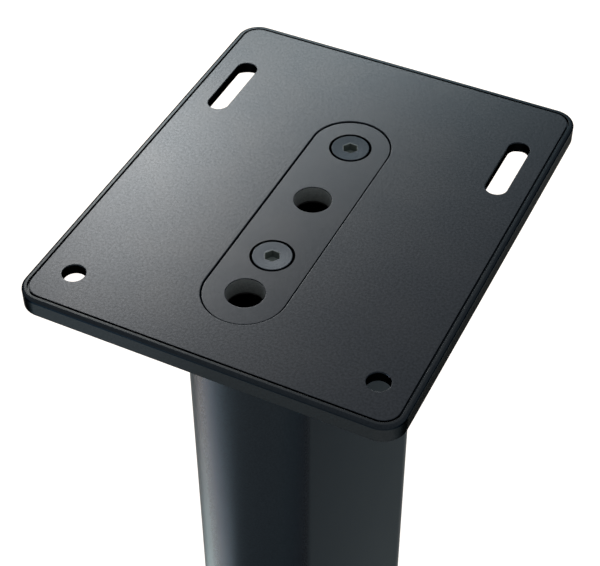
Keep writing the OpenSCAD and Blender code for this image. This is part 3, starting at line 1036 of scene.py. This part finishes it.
@dataclass(frozen=True)
class Column:
    """The extruded column, with two webs and their bosses inside, and two cable grommets at the back."""

    low: float = 36.75 * MM
    high: float = 600.75 * MM
    outer_r: float = 26.5 * MM
    inner_r: float = 23.5 * MM
    nose_y: float = 56 * MM
    screw_y: float = SCREW_AXIS[1]
    web: float = 3 * MM
    boss_r: float = 8 * MM
    bore_r: float = 4.05 * MM
    hole_r: float = 8.35 * MM
    hole_from_end: float = 42 * MM

    def hole_heights(self) -> dict[str, float]:
        """The heights of the two cable holes, by the node of the grommet in each."""
        inset = self.hole_from_end
        return {"upper_grommet": self.high - inset, "lower_grommet": self.low + inset}

    def boss(self, y: float, side: int) -> np.ndarray:
        """The bulge of a screw boss into a chamber.

        The boss stands on the web's face, so the arc runs between the two points where
        sin a = web / (2 * boss_r), round the side of the axis that is in the chamber.

        Args:
            y: the boss's axis.
            side: +1 for the chamber behind the boss, -1 for the one before it.

        Returns:
            The arc's points.
        """
        lift = math.asin(self.web / 2 / self.boss_r)
        start, end = (math.pi - lift, lift) if side > 0 else (-lift, lift - math.pi)
        return arc(0, y, self.boss_r, start, end, 32)

    def middle_chamber(self) -> np.ndarray:
        """The chamber between the two webs."""
        x, y = self.inner_r, self.screw_y - self.web / 2
        front, back = self.boss(-self.screw_y, 1), self.boss(self.screw_y, -1)
        return np.concatenate([[(-x, -y)], front, [(x, -y), (x, y)], back, [(-x, y)]])

    def nose_chamber(self) -> np.ndarray:
        """The chamber inside the back nose; the front one is the same, turned by half a turn."""
        x, y = self.inner_r, self.screw_y + self.web / 2
        nose = arc(0, self.nose_y, x, 0, math.pi, ROUND_STEPS // 2)
        return np.concatenate([[(-x, y)], self.boss(self.screw_y, 1), [(x, y)], nose])

    def skin(self) -> Skin:
        """Builds the column: its bored outer wall, the three chambers, the screw bores and the two ends."""
        skin, wall = Skin(), oblong(self.outer_r, -self.nose_y, self.nose_y)
        heights = sorted(self.hole_heights().values())
        holes = [NoseHole(height, self.hole_r, self.nose_y) for height in heights]
        back, middle = self.nose_chamber(), self.middle_chamber()
        turn = 0.25 * MM
        low, high = self.low + turn, self.high - turn
        skin.bored_wall(wall.points, low, high, holes, self.outer_r)
        skin.sweep(wall, section((0, high, 0), (-turn, self.high, 0)))
        skin.sweep(wall, section((-turn, self.low, 0), (0, low, 0)))
        skin.bored_wall(back, self.low, self.high, holes, self.inner_r)
        for hole in holes:
            skin.grid(np.stack([hole.rim(self.inner_r), hole.rim(self.outer_r)]))
        bores = [circle(0, end.value * self.screw_y, self.bore_r).points for end in End]
        for loop in (middle, -back, *bores):
            ends = [np.insert(loop, 2, height, axis=1) for height in (self.low, self.high)]
            skin.grid(np.stack(ends))
        for height in (self.low, self.high):
            skin.level(height, wall.offset(-turn), back, middle, -back, *bores)
        return skin

    def grommet_skin(self, height: float) -> Skin:
        """Builds a grommet bent to the column's nose.

        Its section (r, d) goes round the hole's axis, with r the distance from the axis and d that out of the
        wall: x = r cos a, z = height + r sin a, y = nose_y + sqrt((outer_r + d) squared - x squared).

        Args:
            height: the height of the hole's axis.

        Returns:
            The grommet's surface.
        """
        bore, neck, lip = 6.5 * MM, 8.25 * MM, 10.75 * MM
        out, seat, back = 1.6 * MM, 0.1 * MM, self.inner_r - self.outer_r
        ring = section(
            (bore, back / 2, 0),
            (bore, out, 0.6 * MM),
            (lip, out, 0.8 * MM),
            (lip, seat, 0.15 * MM),
            (neck, seat, 0.1 * MM),
            (neck, back - seat, 0.1 * MM),
            (lip, back - seat, 0.15 * MM),
            (lip, back - out, 0.8 * MM),
            (bore, back - out, 0.6 * MM),
            (bore, back / 2, 0),
        )[:-1]
        r, d = ring[:, :1], ring[:, 1:]
        angle = np.arange(64) * math.tau / 64
        x = r * np.cos(angle)
        y = self.nose_y + np.sqrt((self.outer_r + d) ** 2 - x**2)
        skin = Skin()
        skin.grid(np.stack([x, y, height + r * np.sin(angle)], axis=2), round_rows=True)
        return skin

    def build(self, stand: Stand, finishes: StandFinishes) -> None:
        """Builds and dresses the column.

        Args:
            stand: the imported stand.
            finishes: its finishes.
        """
        stand.finish_node("column", self.skin(), finishes.column)
        for node, height in self.hole_heights().items():
            stand.finish_node(node, self.grommet_skin(height), finishes.rubber)


@dataclass(frozen=True)
class Base:
    """The heavy base plate, with the column's screws sunk into its underside."""

    width: float = 250 * MM
    depth: float = 300 * MM
    corner: float = 14 * MM
    under: float = 26 * MM
    top: float = 36 * MM
    edge: float = 2 * MM
    screw_y: float = SCREW_AXIS[1]
    sink_r: float = 8.44 * MM
    bush_hole: float = 6.52 * MM

    def skin(self) -> Skin:
        """Builds the plate with its soft edges, bush holes and countersinks."""
        skin, slab, reach = Skin(), rectangle(self.width, self.depth, self.corner), self.edge + 1 * MM
        edge = section(
            (-reach, self.under, 0),
            (0, self.under, self.edge),
            (0, self.top, self.edge),
            (-reach, self.top, 0),
            steps=10,
        )
        skin.sweep(slab, edge)
        feet = [spindle(*foot.axis()) for foot in all_feet()]
        axes = [spindle(0, end.value * self.screw_y) for end in End]
        hole = section((self.bush_hole, self.top, 0), (self.bush_hole, self.under, 0))
        sink = countersink(self.sink_r, self.under, self.top)
        for foot in feet:
            skin.sweep(foot, hole)
        for axis in axes:
            skin.sweep(axis, sink)
        holes = [foot.offset(self.bush_hole) for foot in feet]
        for height, mouth in ((self.top, sink[-1, 0]), (self.under, sink[0, 0])):
            skin.level(height, slab.offset(-reach), *holes, *(axis.offset(mouth) for axis in axes))
        return skin

    def build(self, stand: Stand, finishes: StandFinishes) -> None:
        """Builds and dresses the base.

        Args:
            stand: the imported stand.
            finishes: its finishes.
        """
        stand.finish_node("base_plate", self.skin(), finishes.base)
        for end in End:
            node = f"base_screw_{end.name.lower()}"
            skin = Screw(node, end.value * self.screw_y, self.under, turned_over=True).skin()
            stand.finish_node(node, skin, finishes.dark_screw, finishes.socket)
        stand.dress_node("base_gasket", finishes.rubber)


@dataclass(frozen=True)
class Foot:
    """One foot: a bush in the base, the spike in it, its lock nut, and the shoe and pad on the floor."""

    side: Side
    end: End
    bore: float = 4.05 * MM
    nut_width: float = 13 * MM
    socket: float = 4 * MM

    def corner(self) -> str:
        """The letters that the foot's nodes end in."""
        return f"{self.end.name[0]}{self.side.name[0]}".lower()

    def axis(self) -> tuple[float, float]:
        """Where the foot's upright axis stands."""
        return self.side.value * FOOT_AXIS[0], self.end.value * FOOT_AXIS[1]

    def turned(self, *corners: Corner, closed: bool = False) -> Skin:
        """Builds a turned piece from its section, as (radius, height, rounding)."""
        skin, path = Skin(), section(*corners)
        skin.sweep(spindle(*self.axis()), path[:-1] if closed else path, closed)
        return skin

    def bush_skin(self) -> Skin:
        """Builds the bush: a sleeve with a collar under the base plate."""
        sleeve, collar = 6.5 * MM, 9 * MM
        under, seat, top = 24.5 * MM, 26 * MM, 36 * MM
        start = (self.bore, 30 * MM, 0)
        return self.turned(
            start,
            (self.bore, under, 0.35 * MM),
            (collar, under, 0.4 * MM),
            (collar, seat, 0.1 * MM),
            (sleeve, seat, 0.1 * MM),
            (sleeve, top, 0.2 * MM),
            (self.bore, top, 0.35 * MM),
            start,
            closed=True,
        )

    def spike_skin(self) -> Skin:
        """Builds the spike: a blunt point, a threaded rod and a socket in its upper end."""
        x, y = self.axis()
        axis, root, tip, point, top = spindle(x, y), THREAD_R - THREAD_DEPTH, 4.65 * MM, 13.65 * MM, 39 * MM
        low, high, turn = point + 1.5 * MM, top - 0.8 * MM, 0.4 * MM
        skin = self.turned(
            (0, tip, 0),
            (0.6 * MM, tip, 0.25 * MM),
            (THREAD_R, point, 0.3 * MM),
            (THREAD_R, point + 0.8 * MM, 0.2 * MM),
            (root, low, 0),
        )
        skin.thread(x, y, low, high)
        skin.sweep(axis, section((root, high, 0), (root, top - turn, 0.15 * MM), (root - turn, top, 0)))
        mouth = hexagon(self.socket, x, y, 0.0)
        skin.level(top, axis.offset(root - turn), mouth.offset(SOCKET_MOUTH))
        skin.hex_socket(mouth, top, 4 * MM, x, y)
        return skin

    def nut_skin(self) -> Skin:
        """Builds the lock nut: a hexagon whose corners a cone cuts off above and below.

        At angle a and height z the radius is the lesser of width / 2 / cos b, with b the angle from the
        middle of the nearest flat, and face_r + 1.73 times the distance to the nearer end.
        """
        x, y = self.axis()
        low, high, face_r, steps = 20.4 * MM, 24.4 * MM, 0.475 * self.nut_width, 120
        angle = np.arange(steps) * math.tau / steps
        flat = np.mod(angle, math.pi / 3) - math.pi / 6
        near = np.linspace(0, 0.8 * MM, 9)
        height = np.concatenate([low + near, (high - near)[::-1]])
        cone = face_r + math.sqrt(3) * np.minimum(height - low, high - height)
        radius = np.minimum(self.nut_width / 2 / np.cos(flat), cone[:, None])
        ring = np.array([x, y]) + radius[..., None] * on_circle(angle)
        tall = np.broadcast_to(height[:, None, None], ring.shape[:2] + (1,))
        skin = Skin()
        skin.grid(np.concatenate([ring, tall], axis=2))
        axis, bore, turn = spindle(x, y), self.bore, 0.35 * MM
        broken = bore + turn
        wall = ((broken, high, 0), (bore, high - turn, 0), (bore, low + turn, 0), (broken, low, 0))
        skin.sweep(axis, section(*wall))
        for z, row in ((low, ring[0]), (high, ring[-1])):
            skin.level(z, row, axis.offset(broken))
        return skin

    def shoe_skin(self) -> Skin:
        """Builds the shoe: a turned disc with a groove round it and a dimple for the spike's point."""
        radius, under, top, groove = 12.5 * MM, 1.5 * MM, 7.5 * MM, 4.2 * MM
        return self.turned(
            (0, under, 0),
            (radius - 0.5 * MM, under, 0.2 * MM),
            (radius, under + 0.5 * MM, 0.2 * MM),
            (radius, groove, 0.12 * MM),
            (radius - 0.45 * MM, groove + 0.25 * MM, 0.12 * MM),
            (radius - 0.45 * MM, groove + 0.55 * MM, 0.12 * MM),
            (radius, groove + 0.8 * MM, 0.12 * MM),
            (radius, top - 0.6 * MM, 0.25 * MM),
            (radius - 0.6 * MM, top, 0.25 * MM),
            (4.5 * MM, top, 0.2 * MM),
            (0.75 * MM, 4.5 * MM, 0.1 * MM),
            (0, 4.5 * MM, 0),
        )

    def pad_skin(self) -> Skin:
        """Builds the thin pad under the shoe."""
        radius, top = 11.5 * MM, 1.5 * MM
        return self.turned((0, 0, 0), (radius, 0, 0.25 * MM), (radius, top, 0.15 * MM), (0, top, 0))

    def build(self, stand: Stand, finishes: StandFinishes) -> None:
        """Builds and dresses the foot.

        Args:
            stand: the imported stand.
            finishes: its finishes.
        """
        pieces = {
            "bush": (self.bush_skin(), finishes.bush),
            "spike": (self.spike_skin(), finishes.spike),
            "lock_nut": (self.nut_skin(), finishes.nut),
            "shoe": (self.shoe_skin(), finishes.shoe),
            "shoe_pad": (self.pad_skin(), finishes.pad),
        }
        for name, (skin, finish) in pieces.items():
            stand.finish_node(f"{name}_{self.corner()}", skin, finish)


def all_feet() -> list[Foot]:
    """The four feet, left before right and front before back."""
    return [Foot(side, end) for side in Side for end in End]


@dataclass(frozen=True)
class Lamp:
    """A soft rectangular lamp that faces one point and doesn't show in the picture itself."""

    name: str
    place: Point
    aim: Point
    size: tuple[float, float]
    radiance: float
    colour: Colour = WHITE
    turn: float = 0.0

    def build(self) -> None:
        """Makes the lamp; its power is pi * area * radiance, as for a plain diffuse emitter."""
        data = bpy.data.lights.new(self.name, "AREA")
        data.shape = "RECTANGLE"
        data.size, data.size_y = self.size
        data.energy = math.pi * self.size[0] * self.size[1] * self.radiance
        data.color = self.colour
        lamp = bpy.data.objects.new(self.name, data)
        back = (Vector(self.place) - Vector(self.aim)).normalized()
        facing = Quaternion(back, math.radians(self.turn)) @ back.to_track_quat("Z", "Y")
        lamp.location = self.place
        lamp.rotation_mode = "QUATERNION"
        lamp.rotation_quaternion = facing
        lamp.visible_camera = False
        bpy.context.scene.collection.objects.link(lamp)


@dataclass(frozen=True)
class Studio:
    """The pale room: its floor, its light and the camera."""

    lamps: tuple[Lamp, ...] = (
        Lamp("key", (-0.811, 1.873, 1.873), HEAD_TOP, (0.26, 1.243), 39.0, WARM, turn=-57.2),
        Lamp("key spot", (-1.154, 1.445, 2.14), HEAD_TOP, (0.134, 0.493), 84.0, WARM, turn=-51.8),
        Lamp("low front", (-0.47, -0.56, 0.02), (-0.47, -0.56, 1.0), (0.3, 0.3), 2.4),
        Lamp("low left", (-0.373, -0.172, 0.02), (-0.373, -0.172, 1.0), (0.476, 0.335), 28.0, LOW_WARM),
    )
    view: tuple[float, float] = (26.263, 44.627)
    roll: float = -0.316
    camera_place: Point = (0.20663, -0.43115, 1.03287)
    lens: float = 92.203
    floor_reach: float = 150.0
    floor_grey: float = 0.5
    floor_glow: float = 0.72
    sky_seen: float = 0.93
    sky_light: float = 0.4

    def floor(self) -> None:
        """Lays the floor, a diffuse grey that glows to camera, mirrors and glass but keeps its shadow."""
        r = self.floor_reach
        mesh = bpy.data.meshes.new("floor")
        mesh.from_pydata([(-r, -r, 0), (r, -r, 0), (r, r, 0), (-r, r, 0)], [], [(0, 1, 2, 3)])
        floor = bpy.data.objects.new("floor", mesh)
        bpy.context.scene.collection.objects.link(floor)
        material = bpy.data.materials.new("studio floor")
        material.use_nodes = True
        graph = Graph(material.node_tree)
        shader = material.node_tree.nodes["Principled BSDF"]
        shader.inputs["Base Color"].default_value = (*[self.floor_grey] * 3, 1)
        shader.inputs["Roughness"].default_value = 0.9
        shader.inputs["Specular IOR Level"].default_value = 0.0
        shader.inputs["Emission Color"].default_value = (*WHITE, 1)
        material.node_tree.links.new(self.seen(graph, self.floor_glow), shader.inputs["Emission Strength"])
        mesh.materials.append(material)

    def seen(self, graph: Graph, strength: float) -> Socket:
        """A strength that holds for camera, glossy and transmission rays alone."""
        path = graph.node("ShaderNodeLightPath").outputs
        rays = graph.math("ADD", path["Is Camera Ray"], path["Is Glossy Ray"])
        rays = graph.math("ADD", rays, path["Is Transmission Ray"])
        return graph.math("MULTIPLY", graph.math("MINIMUM", rays, 1.0), strength)

    def sky(self) -> None:
        """Sets the world: as pale as the far floor to camera, mirrors and glass, and darker as a light."""
        world = bpy.data.worlds.new("studio")
        world.use_nodes = True
        graph = Graph(world.node_tree)
        strength = graph.math("ADD", self.seen(graph, self.sky_seen - self.sky_light), self.sky_light)
        inputs = world.node_tree.nodes["Background"].inputs
        world.node_tree.links.new(strength, inputs["Strength"])
        inputs["Color"].default_value = (*WHITE, 1)
        bpy.context.scene.world = world

    def camera(self) -> None:
        """Places the camera at the photograph's angle: right = (cos a, sin a, 0), up = back x right."""
        a, e = (math.radians(part) for part in self.view)
        back = Vector((math.sin(a) * math.cos(e), -math.cos(a) * math.cos(e), math.sin(e)))
        right = Vector((math.cos(a), math.sin(a), 0))
        right.rotate(Quaternion(back, math.radians(self.roll)))
        up = back.cross(right)
        data = bpy.data.cameras.new("camera")
        data.lens = self.lens
        data.sensor_width = 36
        camera = bpy.data.objects.new("camera", data)
        turn = Matrix((right, up, back)).transposed().to_4x4()
        camera.matrix_world = Matrix.Translation(self.camera_place) @ turn
        bpy.context.scene.collection.objects.link(camera)
        bpy.context.scene.camera = camera

    def build(self) -> None:
        """Builds the studio and sets the plain view."""
        bpy.context.scene.view_settings.view_transform = "Standard"
        self.camera()
        self.floor()
        self.sky()
        for lamp in self.lamps:
            lamp.build()
            log.info("lamp %s", lamp.name)


def main() -> None:
    """Builds the studio and the stand, from the head down to the feet."""
    logging.basicConfig(level=logging.INFO, format="%(name)s: %(message)s")
    Studio().build()
    stand, finishes = Stand(frame["record"]), StandFinishes()
    for part in (Head(), Column(), Base(), *all_feet()):
        part.build(stand, finishes)
        log.info("built %s", type(part).__name__)


if __name__ == "__main__":
    main()
